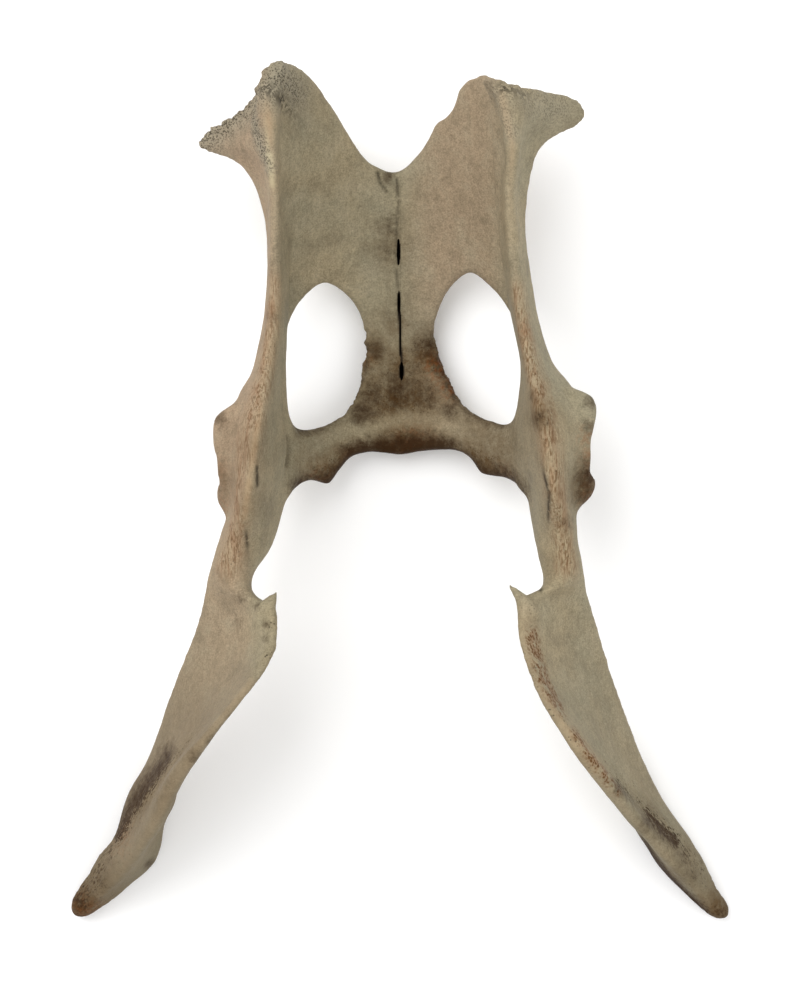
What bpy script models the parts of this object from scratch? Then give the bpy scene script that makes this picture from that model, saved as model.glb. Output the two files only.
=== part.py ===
"""Pelvis of a deer, life size: two hip bones, each parted into ilium, ischium and pubis.

The animal's left is +X, its tail end is +Y and its back is +Z. The bone lies belly side down and
rests on the symphysis and on the two points of the hip. Lengths below are in millimetres.
"""
import math

import bmesh
import bpy
from mathutils import Matrix, Vector

MM = 0.001

# Sizes that drive the whole
SECTION_STEP = 2.0
POINTS_PER_SPAN = 4
VOXEL = 1.0
SMOOTH_ROUNDS = 4
TRIANGLES_WHOLE = 12600
NODE_GAP = 0.3
REST_CUT = 0.5

# Hip socket
SOCKET_CENTRE = {"right": (-47.2, 9.8, 30.0), "left": (49.7, 11.8, 30.0)}
SOCKET_RADIUS = 13.6
SOCKET_TILT = 25.0
SOCKET_SHIFT_OUT = 2.5
RIM_RADIUS = 15.0
RIM_THICKNESS = 1.9
BOSS_ROOT_RADIUS = 13.0
BOSS_DEPTH = 13.0
FOSSA_RADIUS = 5.5
FOSSA_DEPTH = 2.0
NOTCH_WIDTH = 8.0
# Rounded flange on the head end of the socket rim: centre and half sizes (across, along, up)
RIM_FLANGE = {"right": (-46.0, 0.8, 36.5), "left": (49.2, 3.4, 36.5)}
RIM_FLANGE_HALF = {"right": (9.9, 10.6, 7.5), "left": (10.4, 9.8, 7.5)}

# Shelf over the hip socket, seen from above, with its lower and upper height
SOCKET_SHELF = {
    "right": [(-44, 27), (-48, 27), (-51.6, 25), (-55.4, 22.4), (-56.4, 20.5), (-56.4, 13), (-55, 8.5),
              (-53, 5), (-44, 5)],
    "left": [(46, 30.5), (53.5, 30.3), (58, 28.3), (59.2, 24), (58.3, 18), (56.2, 12.5), (55.5, 8.5),
             (53, 6), (46, 6)],
}
SHELF_HEIGHTS = (38.0, 45.0)

# Pointed corner where the margin of the wing meets the notch, as stations (across, along, height, radius)
NOTCH_CORNER = {
    "right": [(-42.5, -40.0, 56.5, 2.2), (-40.3, -35.5, 58.5, 2.8), (-38.4, -32.8, 58.0, 2.3),
              (-37.0, -30.6, 57.0, 1.4), (-36.6, -29.4, 56.5, 0.8)],
    "left": [(40.8, -39.0, 56.5, 2.2), (38.2, -34.5, 58.5, 2.8), (35.4, -31.2, 58.0, 2.3),
             (33.0, -28.6, 57.0, 1.5), (31.9, -26.8, 56.5, 0.8)],
}

# Body of the pubis, from the bar to the socket wall, as stations (across, along, height, radius)
PUBIC_BODY = [
    (14.0, 17.0, 8.5, 2.5), (23.0, 14.5, 14.0, 4.0), (32.0, 11.5, 20.0, 7.0), (38.0, 10.0, 26.0, 10.0),
    (42.0, 9.5, 27.0, 10.0)]

# Floor of the pelvis
FLOOR_HALF_WIDTH = 36.0
FLOOR_CURVE = 1.9
FLOOR_THICKNESS = 5.0
SYMPHYSIS_EXTRA = 4.5
SYMPHYSIS_HALF_WIDTH = 7.0
BAR_EXTRA = 3.5
BAR_DEPTH = 8.0
FLOOR_GRID = 3.0

# Slits in the back of the symphysis: middle along the bone, length, width, height of the bottom
SLITS = [(74.6, 7.0, 1.2, 6.5), (59.4, 6.0, 1.0, 5.0), (38.0, 4.8, 1.4, 4.0)]

# Planes that part a hip bone, as angles round the socket centre seen from the side
ILIUM_ISCHIUM_ANGLE = 90.0
ILIUM_PUBIS_ANGLE = 200.0
PUBIS_ISCHIUM_ANGLE = 328.0

# Edge lines of each hip bone, as stations (along, across, height) from tail end to head end
LATERAL_EDGE = {
    "right": [
        (128.0, -38.0, 57), (123.5, -42.3, 56), (118.5, -44.0, 50), (113.4, -50.0, 44),
        (109.0, -59.0, 38), (104.5, -63.0, 35), (101.5, -58.0, 35), (99.5, -51.0, 37),
        (95.0, -46.0, 38), (89.0, -43.0, 36), (80.0, -40.5, 33), (68.0, -39.6, 31), (56.0, -40.6, 30),
        (37.0, -44.0, 32), (28.0, -49.0, 37), (12.0, -52.0, 42), (-6.0, -51.5, 36),
        (-13.5, -54.0, 33), (-23.5, -57.0, 33), (-42.5, -62.5, 28), (-60.5, -69.5, 20),
        (-82.0, -77.2, 11), (-94.5, -84.3, 7), (-107.0, -87.7, 5), (-113.0, -92.8, 4), (-118.0, -95.4, 4),
        (-129.0, -102.0, 3), (-131.5, -100.0, 4)],
    "left": [
        (122.8, 28.0, 57), (121.6, 30.5, 54), (120.3, 36.0, 48), (119.7, 49.5, 41),
        (118.3, 54.5, 37), (114.2, 57.3, 35), (111.8, 57.2, 35), (108.5, 52.0, 36),
        (106.0, 46.0, 38), (100.0, 41.0, 38), (90.5, 38.8, 37), (81.5, 37.8, 34),
        (58.0, 40.5, 30), (38.5, 46.0, 32), (30.5, 52.0, 37), (13.0, 54.0, 42),
        (-5.0, 53.0, 36), (-14.0, 53.2, 33), (-27.0, 55.6, 33), (-42.0, 60.2, 28),
        (-57.5, 65.2, 21), (-82.0, 74.2, 11), (-94.5, 80.5, 7), (-107.0, 89.0, 5),
        (-116.5, 94.5, 4), (-123.5, 97.5, 3), (-129.0, 101.8, 3), (-132.0, 101.0, 4)],
}
DORSAL_EDGE = {
    "right": [
        (127.0, -37.5, 59), (114.5, -39.5, 61), (101.0, -38.5, 58), (89.5, -37.5, 54),
        (57.0, -37.5, 49), (42.0, -39.0, 51), (26.5, -41.0, 58), (15.0, -43.0, 63),
        (3.0, -44.5, 63), (-9.0, -46.5, 57), (-18.0, -49.0, 50), (-27.0, -49.5, 49),
        (-31.5, -46.0, 53), (-34.0, -39.8, 58), (-37.0, -37.5, 61), (-44.5, -37.3, 66),
        (-52.5, -40.5, 70), (-62.0, -47.8, 72), (-73.0, -56.8, 71), (-80.0, -62.5, 67),
        (-89.0, -68.5, 59),
        (-98.5, -72.5, 50), (-108.5, -78.5, 37), (-117.5, -85.5, 25), (-125.5, -93.5, 15),
        (-131.5, -98.5, 8)],
    "left": [
        (123.0, 27.5, 59), (115.5, 32.0, 61), (101.0, 33.5, 58), (89.5, 32.5, 54),
        (60.0, 35.0, 49), (46.5, 37.0, 51), (34.0, 39.5, 56), (21.5, 42.0, 62),
        (9.0, 44.5, 63), (-3.0, 46.0, 60), (-15.0, 48.5, 51), (-24.0, 49.0, 49),
        (-30.0, 44.5, 52), (-32.3, 36.4, 57), (-37.0, 35.6, 61), (-46.0, 36.5, 66),
        (-52.5, 38.6, 70), (-62.0, 42.6, 72), (-72.0, 49.2, 72), (-81.0, 55.8, 68), (-90.5, 63.4, 58),
        (-100.0, 71.0, 47), (-109.5, 79.0, 35), (-118.5, 87.0, 23), (-126.5, 94.5, 14),
        (-132.0, 98.5, 8)],
}
MEDIAL_EDGE = {
    "right": [
        (127.0, -34.0, 55), (116.5, -32.5, 48), (102.0, -32.5, 43), (87.5, -33.0, 37),
        (57.5, -34.0, 30), (33.5, -35.0, 27), (24.5, -34.5, 26), (12.0, -32.5, 26),
        (-2.0, -35.0, 26), (-11.5, -37.6, 28), (-17.5, -39.8, 30), (-22.0, -43.2, 33), (-26.5, -46.0, 35),
        (-33.0, -46.5, 34), (-45.5, -51.0, 29), (-61.0, -59.0, 20), (-73.5, -65.0, 13),
        (-83.0, -68.5, 8), (-95.0, -69.5, 5), (-103.0, -73.0, 4), (-108.5, -73.5, 3),
        (-115.0, -76.0, 2), (-121.5, -83.3, 1), (-127.0, -89.5, 1), (-131.5, -97.0, 2)],
    "left": [
        (123.0, 22.5, 55), (116.5, 27.0, 48), (102.0, 27.5, 43), (87.5, 28.5, 37),
        (57.5, 33.0, 30), (36.5, 37.2, 27), (27.5, 36.5, 26), (12.0, 34.0, 26),
        (-2.0, 39.2, 26), (-11.5, 41.0, 28), (-17.5, 42.5, 31), (-26.5, 44.6, 35),
        (-33.0, 46.5, 34), (-45.5, 49.0, 29), (-61.0, 56.5, 20), (-73.5, 63.0, 13),
        (-83.0, 68.0, 8), (-95.0, 70.0, 5), (-103.0, 72.0, 4), (-108.5, 75.5, 3),
        (-116.0, 80.0, 2), (-122.5, 86.0, 1), (-129.0, 93.0, 1), (-132.0, 97.5, 2)],
}

# Width of the dorsal edge and swell of the three faces, as stations (along, size)
DORSAL_WIDTH = [
    (127, 4.0), (116, 6.5), (103, 4.5), (90, 2.6), (50, 2.4), (30, 2.4), (5, 2.4), (-15, 4.0),
    (-27, 5.0), (-34, 3.2), (-50, 2.6), (-70, 3.2), (-82, 4.8), (-97, 4.6), (-108, 3.0), (-132, 2.4)]
OUTER_SWELL = [
    (127, 0.5), (108, -2.5), (95, -1.0), (60, 0.5), (30, 0.5), (10, 0.5), (-10, 0.5), (-25, 1.0),
    (-40, -1.0), (-60, -2.5), (-80, -2.2), (-95, -1.0), (-110, 1.5), (-132, 1.0)]
INNER_SWELL = [
    (127, 0.5), (105, -1.5), (80, -0.5), (50, 0.5), (20, 0.5), (0, 1.0), (-20, 2.5), (-30, 1.0),
    (-45, 0.5), (-65, 1.2), (-85, 0.5), (-105, -1.0), (-120, 0.0), (-132, 0.5)]
UNDER_SWELL = [
    (127, 1.0), (105, 2.5), (80, 3.0), (40, 3.5), (15, 3.0), (-10, 6.0), (-25, 7.0), (-45, 4.0),
    (-70, 2.5), (-95, 2.0), (-132, 1.0)]

# Height of the floor on the midline and its rise towards the sides, as stations (along, size)
FLOOR_MIDDLE = [(-10, 9.5), (12, 9.5), (40, 9.8), (60, 11.0), (80, 13.5), (97, 17.0), (127, 22.0)]
FLOOR_RISE = [(-10, 19.0), (12, 18.0), (45, 17.5), (65, 19.0), (85, 26.0), (100, 31.0), (127, 34.0)]

# Outline of each half of the floor, seen from above
ISCHIAL_ARCH = {
    "right": [(0, 96.8), (-3.5, 97.2), (-9.5, 99.7), (-13.8, 105), (-20, 115), (-25.2, 122.8),
              (-28.8, 126), (-33.5, 128.5), (-37, 128)],
    "left": [(0, 97.5), (2.5, 99), (7.5, 104.5), (11, 112), (14.5, 113.5), (16.8, 117),
             (17.6, 121.5), (20.5, 124.5), (26, 125.5), (30, 123)],
}
OUTER_LIMIT = {
    "right": [(-37.5, 100), (-37.5, 60), (-39, 35), (-42, 10), (-40, -5)],
    "left": [(33, 100), (36, 60), (41, 35), (45, 10), (44, -5)],
}
PUBIC_EDGE = {
    "right": [(-34.5, -2.0), (-31.5, 1.6), (-28.3, 3.8), (-25.4, 3.0), (-22, 1.8), (-19.6, 5.4), (-15.6, 10.6),
              (-9.5, 12.2), (0, 11)],
    "left": [(39, -1), (36, 2.5), (32, 4.3), (25, 4.8), (21.6, 10.6), (17, 13), (8, 12.4), (0, 11)],
}
FORAMEN = {
    "right": [(-23, 63.5), (-17.5, 61), (-13, 56), (-10.5, 49), (-10.3, 43.5), (-11.5, 37), (-12.5, 30),
              (-16, 24), (-21.5, 20.5), (-27, 18.5), (-31, 17.5), (-34, 23), (-35, 34), (-35, 47),
              (-32, 55.5), (-27.5, 61)],
    "left": [(20.8, 66.8), (15.4, 62.3), (12, 56), (10, 49), (11.5, 42), (14, 35), (17.5, 28.5),
             (22.5, 23.5), (28.5, 21), (33.5, 20), (36.5, 26), (37.5, 36), (36, 48), (32.2, 56.5),
             (28.4, 61.4), (24.5, 65)],
}

BONE_COLOUR = {
    "ilium": (0.47, 0.41, 0.31), "ischium": (0.50, 0.42, 0.32), "pubis": (0.36, 0.29, 0.21)}
SIGN = {"right": -1.0, "left": 1.0}


def clear_scene():
    """Take every object and collection out of the startup scene."""
    for thing in list(bpy.data.objects):
        bpy.data.objects.remove(thing, do_unlink=True)
    for group in list(bpy.data.collections):
        bpy.data.collections.remove(group)


def new_collection(name):
    group = bpy.data.collections.new(name)
    bpy.context.scene.collection.children.link(group)
    return group


def along(stations, at, column=1):
    """Value of one column of the stations at a place along the bone, by a monotone cubic."""
    rows = sorted(stations, key=lambda row: row[0])
    xs = [row[0] for row in rows]
    ys = [row[column] for row in rows]
    if at <= xs[0]:
        return ys[0]
    if at >= xs[-1]:
        return ys[-1]
    slopes = [(ys[i + 1] - ys[i]) / (xs[i + 1] - xs[i]) for i in range(len(xs) - 1)]
    tangents = [slopes[0]]
    for i in range(1, len(slopes)):
        before, after = slopes[i - 1], slopes[i]
        tangents.append(0.0 if before * after <= 0 else 2 * before * after / (before + after))
    tangents.append(slopes[-1])
    k = max(i for i in range(len(xs) - 1) if xs[i] <= at)
    span = xs[k + 1] - xs[k]
    t = (at - xs[k]) / span
    return ((2 * t**3 - 3 * t**2 + 1) * ys[k] + (t**3 - 2 * t**2 + t) * span * tangents[k]
            + (3 * t**2 - 2 * t**3) * ys[k + 1] + (t**3 - t**2) * span * tangents[k + 1])


def closed_curve(points, per_span):
    """Smooth closed curve through the points."""
    result = []
    count = len(points)
    for i in range(count):
        a, b, c, d = (points[(i + k - 1) % count] for k in range(4))
        for step in range(per_span):
            t = step / per_span
            result.append(0.5 * ((2 * b) + (c - a) * t + (2 * a - 5 * b + 4 * c - d) * t**2
                                 + (3 * b - a - 3 * c + d) * t**3))
    return result


def section(side, y):
    """One section across the hip bone: outer edge, back edge, inner edge and the faces between."""
    outer = Vector((along(LATERAL_EDGE[side], y), along(LATERAL_EDGE[side], y, 2)))
    back = Vector((along(DORSAL_EDGE[side], y), along(DORSAL_EDGE[side], y, 2)))
    inner = Vector((along(MEDIAL_EDGE[side], y), along(MEDIAL_EDGE[side], y, 2)))
    sign = SIGN[side]
    centre = (outer + back + inner) / 3

    def swell(a, b, part, amount):
        spot = a.lerp(b, part)
        normal = Vector((b.y - a.y, a.x - b.x)).normalized()
        if normal.dot(spot - centre) < 0:
            normal = -normal
        return spot + normal * amount

    half = along(DORSAL_WIDTH, y) / 2
    back_outer = back + Vector((sign * half, -0.3 * half))
    back_inner = back - Vector((sign * half, 0.3 * half))
    outer_swell = along(OUTER_SWELL, y)
    inner_swell = along(INNER_SWELL, y)
    ring = [
        outer,
        swell(outer, back_outer, 0.33, outer_swell),
        swell(outer, back_outer, 0.67, outer_swell),
        back_outer,
        back,
        back_inner,
        swell(back_inner, inner, 0.33, inner_swell),
        swell(back_inner, inner, 0.67, inner_swell),
        inner,
        swell(inner, outer, 0.5, along(UNDER_SWELL, y)),
    ]
    return [Vector((p.x, y, p.y)) for p in closed_curve(ring, POINTS_PER_SPAN)]


def to_object(bm, name, group):
    bmesh.ops.remove_doubles(bm, verts=bm.verts, dist=0.00001)
    bmesh.ops.recalc_face_normals(bm, faces=bm.faces)
    mesh = bpy.data.meshes.new(name)
    bm.to_mesh(mesh)
    bm.free()
    thing = bpy.data.objects.new(name, mesh)
    group.objects.link(thing)
    return thing


def loft(rings, name, group):
    """Closed body through rings that have the same number of points."""
    bm = bmesh.new()
    loops = [[bm.verts.new(p * MM) for p in ring] for ring in rings]
    count = len(loops[0])
    for first, second in zip(loops, loops[1:]):
        for i in range(count):
            j = (i + 1) % count
            bm.faces.new((first[i], first[j], second[j], second[i]))
    bm.faces.new(loops[0])
    bm.faces.new(loops[-1])
    return to_object(bm, name, group)


def prism(outline, low, high, name, group):
    """Upright prism over an outline seen from above."""
    rings = [[Vector((p[0], p[1], z)) for p in outline] for z in (low, high)]
    return loft(rings, name, group)


def apply_boolean(target, cutter, operation):
    step = target.modifiers.new("step", "BOOLEAN")
    step.operation = operation
    step.solver = "EXACT"
    step.object = cutter
    apply_modifiers(target)


def apply_modifiers(target):
    graph = bpy.context.evaluated_depsgraph_get()
    mesh = bpy.data.meshes.new_from_object(target.evaluated_get(graph))
    target.modifiers.clear()
    old = target.data
    target.data = mesh
    bpy.data.meshes.remove(old)


def keep_largest(target):
    """Drop every loose shell but the one with the most faces."""
    bm = bmesh.new()
    bm.from_mesh(target.data)
    seen = set()
    shells = []
    for face in bm.faces:
        if face in seen:
            continue
        shell = []
        queue = [face]
        seen.add(face)
        while queue:
            current = queue.pop()
            shell.append(current)
            for edge in current.edges:
                for other in edge.link_faces:
                    if other not in seen:
                        seen.add(other)
                        queue.append(other)
        shells.append(shell)
    shells.sort(key=len)
    spare = [face for shell in shells[:-1] for face in shell]
    bmesh.ops.delete(bm, geom=spare, context="FACES")
    bm.to_mesh(target.data)
    bm.free()


def strap(side, group):
    """Ischium, shaft and wing of one side as one loft along the bone."""
    ends = [row[0] for row in LATERAL_EDGE[side]]
    top, bottom = max(ends), min(ends)
    count = int((top - bottom) / SECTION_STEP)
    rings = [section(side, top + (bottom - top) * i / count) for i in range(count + 1)]
    return loft(rings, "strap_" + side, group)


def floor_height(x, y):
    reach = abs(x) / FLOOR_HALF_WIDTH
    return along(FLOOR_MIDDLE, y) + along(FLOOR_RISE, y) * reach**FLOOR_CURVE


def floor_thickness(side, x, y):
    edge = along(PUBIC_EDGE[side], x)
    symphysis = SYMPHYSIS_EXTRA * math.exp(-(x / SYMPHYSIS_HALF_WIDTH)**2)
    bar = BAR_EXTRA * math.exp(-((y - edge) / BAR_DEPTH)**2)
    return FLOOR_THICKNESS + max(symphysis, bar)


def floor_half(side, group):
    """Half of the floor: a curved plate trimmed to its outline, with the obturator foramen."""
    sign = SIGN[side]
    bm = bmesh.new()
    columns = int(48 / FLOOR_GRID)
    rows = int(144 / FLOOR_GRID)
    sheets = []
    for under in (False, True):
        sheet = []
        for i in range(columns + 1):
            x = sign * (i * FLOOR_GRID - 1.5)
            line = []
            for j in range(rows + 1):
                y = -12 + j * FLOOR_GRID
                z = floor_height(x, y)
                if under:
                    z -= floor_thickness(side, x, y)
                line.append(bm.verts.new(Vector((x, y, z)) * MM))
            sheet.append(line)
        sheets.append(sheet)
    for sheet in sheets:
        for i in range(columns):
            for j in range(rows):
                bm.faces.new((sheet[i][j], sheet[i + 1][j], sheet[i + 1][j + 1], sheet[i][j + 1]))
    upper, lower = sheets
    for i in range(columns):
        for j in (0, rows):
            bm.faces.new((upper[i][j], upper[i + 1][j], lower[i + 1][j], lower[i][j]))
    for j in range(rows):
        for i in (0, columns):
            bm.faces.new((upper[i][j], upper[i][j + 1], lower[i][j + 1], lower[i][j]))
    plate = to_object(bm, "floor_" + side, group)
    outline = ISCHIAL_ARCH[side] + OUTER_LIMIT[side] + PUBIC_EDGE[side]
    outline = outline + [(-1.0 * sign, 12.0), (-1.0 * sign, 96.5)]
    apply_boolean(plate, prism(outline, -20, 95, "floor_trim_" + side, group), "INTERSECT")
    hole = closed_curve([Vector(p) for p in FORAMEN[side]], 3)
    apply_boolean(plate, prism(hole, -20, 95, "foramen_trim_" + side, group), "DIFFERENCE")
    return plate


def socket_frame(side):
    """Placement whose +Z points out of the hip socket, sideways and down."""
    tilt = math.radians(SOCKET_TILT)
    out = Vector((SIGN[side] * math.cos(tilt), 0, -math.sin(tilt)))
    tail = Vector((0, 1, 0))
    up = out.cross(tail) * SIGN[side] * -1.0
    if up.z < 0:
        up = -up
    turn = Matrix((tail, up, out)).transposed().to_4x4()
    return Matrix.Translation(Vector(SOCKET_CENTRE[side]) * MM) @ turn


def socket_boss(side, group):
    """Wall round the hip socket: a cone that widens to a rounded lip."""
    frame = socket_frame(side)
    bm = bmesh.new()
    place = frame @ Matrix.Translation((0, 0, -BOSS_DEPTH / 2 * MM))
    bmesh.ops.create_cone(bm, cap_ends=True, segments=48, radius1=BOSS_ROOT_RADIUS * MM,
                          radius2=(RIM_RADIUS + 0.8) * MM, depth=BOSS_DEPTH * MM, matrix=place)
    cone = to_object(bm, "socket_wall_" + side, group)
    rings = []
    for i in range(48):
        angle = 2 * math.pi * i / 48
        ring = []
        for j in range(12):
            turn = 2 * math.pi * j / 12
            reach = RIM_RADIUS + RIM_THICKNESS * math.cos(turn)
            spot = Vector((reach * math.cos(angle), reach * math.sin(angle),
                           RIM_THICKNESS * math.sin(turn)))
            ring.append(frame @ (spot * MM) / MM)
        rings.append(ring)
    bm = bmesh.new()
    loops = [[bm.verts.new(p * MM) for p in ring] for ring in rings]
    for i in range(48):
        first, second = loops[i], loops[(i + 1) % 48]
        for j in range(12):
            k = (j + 1) % 12
            bm.faces.new((first[j], first[k], second[k], second[j]))
    lip = to_object(bm, "socket_lip_" + side, group)
    return [cone, lip]


def rim_flange(side, group):
    """Rounded flange that carries the rim of the socket forward."""
    bm = bmesh.new()
    place = Matrix.Translation(Vector(RIM_FLANGE[side]) * MM)
    size = Matrix.Diagonal((Vector(RIM_FLANGE_HALF[side]) * MM).to_4d())
    size[3][3] = 1.0
    bmesh.ops.create_uvsphere(bm, u_segments=32, v_segments=16, radius=1.0, matrix=place @ size)
    return to_object(bm, "rim_flange_" + side, group)


def pubic_body(side, group):
    """Bar that widens from the floor to the wall of the socket."""
    rings = []
    for x, y, z, radius in PUBIC_BODY:
        ring = []
        for i in range(16):
            turn = 2 * math.pi * i / 16
            ring.append(Vector((SIGN[side] * x, y + radius * math.cos(turn), z + radius * math.sin(turn))))
        rings.append(ring)
    return loft(rings, "pubic_body_" + side, group)


def notch_corner(side, group):
    """Point at the corner of the wing, over the notch in front of the socket."""
    rings = []
    for x, y, z, radius in NOTCH_CORNER[side]:
        ring = []
        for i in range(12):
            turn = 2 * math.pi * i / 12
            ring.append(Vector((x + radius * math.cos(turn), y, z + radius * math.sin(turn))))
        rings.append(ring)
    return loft(rings, "notch_corner_" + side, group)


def socket_shelf(side, group):
    """Flat shelf that roofs the hip socket and ends in a squared corner."""
    low, high = SHELF_HEIGHTS
    middle = Vector((SIGN[side] * 47.0, 17.0))
    outline = [Vector(p) for p in SOCKET_SHELF[side]]
    rings = []
    for z, scale in ((low, 0.9), (low + 2.0, 1.0), (high - 2.0, 1.0), (high, 0.88)):
        spots = [middle + (p - middle) * scale for p in outline]
        rings.append([Vector((p.x, p.y, z)) for p in spots])
    return loft(rings, "socket_shelf_" + side, group)


def socket_cutters(side, group):
    """Ball of the socket, the rough hollow in its depth and the notch through its lower rim."""
    frame = socket_frame(side)
    bm = bmesh.new()
    ball = frame @ Matrix.Translation((0, 0, SOCKET_SHIFT_OUT * MM))
    bmesh.ops.create_uvsphere(bm, u_segments=40, v_segments=24, radius=SOCKET_RADIUS * MM, matrix=ball)
    sphere = to_object(bm, "socket_ball_" + side, group)
    bm = bmesh.new()
    depth = SOCKET_RADIUS - SOCKET_SHIFT_OUT + FOSSA_DEPTH
    hollow = frame @ Matrix.Translation((2 * MM, -2 * MM, -depth / 2 * MM))
    bmesh.ops.create_cone(bm, cap_ends=True, segments=24, radius1=FOSSA_RADIUS * MM,
                          radius2=(FOSSA_RADIUS + 2) * MM, depth=depth * MM, matrix=hollow)
    fossa = to_object(bm, "socket_fossa_" + side, group)
    bm = bmesh.new()
    notch = frame @ Matrix.Rotation(math.radians(-50), 4, "Z") @ Matrix.Translation((12 * MM, 0, 0))
    size = Matrix.Diagonal((16 * MM, NOTCH_WIDTH * MM, 9 * MM, 1))
    bmesh.ops.create_cube(bm, size=1.0, matrix=notch @ size)
    gap = to_object(bm, "socket_notch_" + side, group)
    return [sphere, fossa, gap]


def join_all(pieces, name, group):
    bm = bmesh.new()
    for piece in pieces:
        bm.from_mesh(piece.data)
    mesh = bpy.data.meshes.new(name)
    bm.to_mesh(mesh)
    bm.free()
    whole = bpy.data.objects.new(name, mesh)
    group.objects.link(whole)
    return whole


def remesh(target, voxel):
    step = target.modifiers.new("even skin", "REMESH")
    step.mode = "VOXEL"
    step.voxel_size = voxel * MM
    apply_modifiers(target)
    keep_largest(target)


def smooth(target, rounds):
    bm = bmesh.new()
    bm.from_mesh(target.data)
    for _ in range(rounds):
        bmesh.ops.smooth_vert(bm, verts=bm.verts, factor=0.5, use_axis_x=True, use_axis_y=True,
                              use_axis_z=True)
    bm.to_mesh(target.data)
    bm.free()


def thin_out(target, triangles):
    """Bring the skin down to the wanted number of triangles."""
    bm = bmesh.new()
    bm.from_mesh(target.data)
    bmesh.ops.triangulate(bm, faces=bm.faces)
    count = len(bm.faces)
    bm.to_mesh(target.data)
    bm.free()
    step = target.modifiers.new("fewer faces", "DECIMATE")
    step.ratio = triangles / count
    apply_modifiers(target)


def box(low, high, name, group):
    bm = bmesh.new()
    low, high = Vector(low), Vector(high)
    place = Matrix.Translation((low + high) / 2 * MM)
    size = Matrix.Diagonal(((high - low) * MM).to_4d())
    size[3][3] = 1.0
    bmesh.ops.create_cube(bm, size=1.0, matrix=place @ size)
    return to_object(bm, name, group)


def wedge(side, start, stop, name, group):
    """Space of one node: a wedge round the socket axis, kept half a gap off its planes."""
    _, y, z = SOCKET_CENTRE[side]
    reach = 400.0
    a, b = math.radians(start), math.radians(stop)
    half = NODE_GAP / 2
    middle = (a + b) / 2
    shift = half / math.sin((b - a) / 2)
    apex = Vector((y + shift * math.cos(middle), z + shift * math.sin(middle)))
    corners = [apex, apex + reach * Vector((math.cos(a), math.sin(a))),
               apex + 1.2 * reach * Vector((math.cos(middle), math.sin(middle))),
               apex + reach * Vector((math.cos(b), math.sin(b)))]
    sign = SIGN[side]
    rings = [[Vector((sign * x, p.x, p.y)) for p in corners] for x in (half, 200.0)]
    return loft(rings, name, group)


def whole_pelvis(group):
    """Both hip bones as one skin, with sockets, foramina and slits."""
    pieces = []
    for side in ("right", "left"):
        pieces.append(strap(side, group))
        pieces.append(floor_half(side, group))
        pieces.extend(socket_boss(side, group))
        pieces.append(rim_flange(side, group))
        pieces.append(pubic_body(side, group))
        pieces.append(notch_corner(side, group))
        pieces.append(socket_shelf(side, group))
    whole = join_all(pieces, "whole", group)
    remesh(whole, VOXEL)
    for side in ("right", "left"):
        for cutter in socket_cutters(side, group):
            apply_boolean(whole, cutter, "DIFFERENCE")
    remesh(whole, VOXEL)
    smooth(whole, SMOOTH_ROUNDS)
    for middle, length, width, bottom in SLITS:
        slit = box((-width / 2, middle - length / 2, bottom), (width / 2, middle + length / 2, 60),
                   "slit", group)
        apply_boolean(whole, slit, "DIFFERENCE")
    thin_out(whole, TRIANGLES_WHOLE)
    low = min(v.co.z for v in whole.data.vertices) / MM
    under = box((-200, -200, low - 50), (200, 200, low + REST_CUT), "table_cut", group)
    apply_boolean(whole, under, "DIFFERENCE")
    return whole


def part_nodes(whole, group, cutters):
    """Part the whole with thin cuts and set it on the origin."""
    spans = {
        "ilium": (ILIUM_ISCHIUM_ANGLE, ILIUM_PUBIS_ANGLE),
        "pubis": (ILIUM_PUBIS_ANGLE, PUBIS_ISCHIUM_ANGLE),
        "ischium": (PUBIS_ISCHIUM_ANGLE - 360, ILIUM_ISCHIUM_ANGLE),
    }
    nodes = []
    for side in ("left", "right"):
        for bone, (start, stop) in spans.items():
            name = bone + "_" + side
            node = bpy.data.objects.new(name, whole.data.copy())
            node.data.name = name
            group.objects.link(node)
            apply_boolean(node, wedge(side, start, stop, "space_" + name, cutters), "INTERSECT")
            keep_largest(node)
            nodes.append(node)
    points = [v.co for node in nodes for v in node.data.vertices]
    low = Vector([min(p[i] for p in points) for i in range(3)])
    high = Vector([max(p[i] for p in points) for i in range(3)])
    shift = Vector((-(low.x + high.x) / 2, -(low.y + high.y) / 2, -low.z))
    for node in nodes:
        node.data.transform(Matrix.Translation(shift))
        node.data.materials.clear()
        node.data.materials.append(bone_material(node.name))
    return nodes


def bone_material(name):
    material = bpy.data.materials.new(name + "_bone")
    material.use_nodes = True
    shader = material.node_tree.nodes["Principled BSDF"]
    red, green, blue = BONE_COLOUR[name.split("_")[0]]
    shader.inputs["Base Color"].default_value = (red, green, blue, 1.0)
    shader.inputs["Roughness"].default_value = 0.7
    shader.inputs["Metallic"].default_value = 0.0
    return material


def main():
    clear_scene()
    parts = new_collection("deer_pelvis")
    cutters = new_collection("cutters")
    whole = whole_pelvis(cutters)
    part_nodes(whole, parts, cutters)
    for thing in cutters.objects:
        thing.hide_render = True
        thing.display_type = "WIRE"


main()
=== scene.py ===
import bmesh
import bpy
import numpy as np
from mathutils import Matrix, Vector


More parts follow.
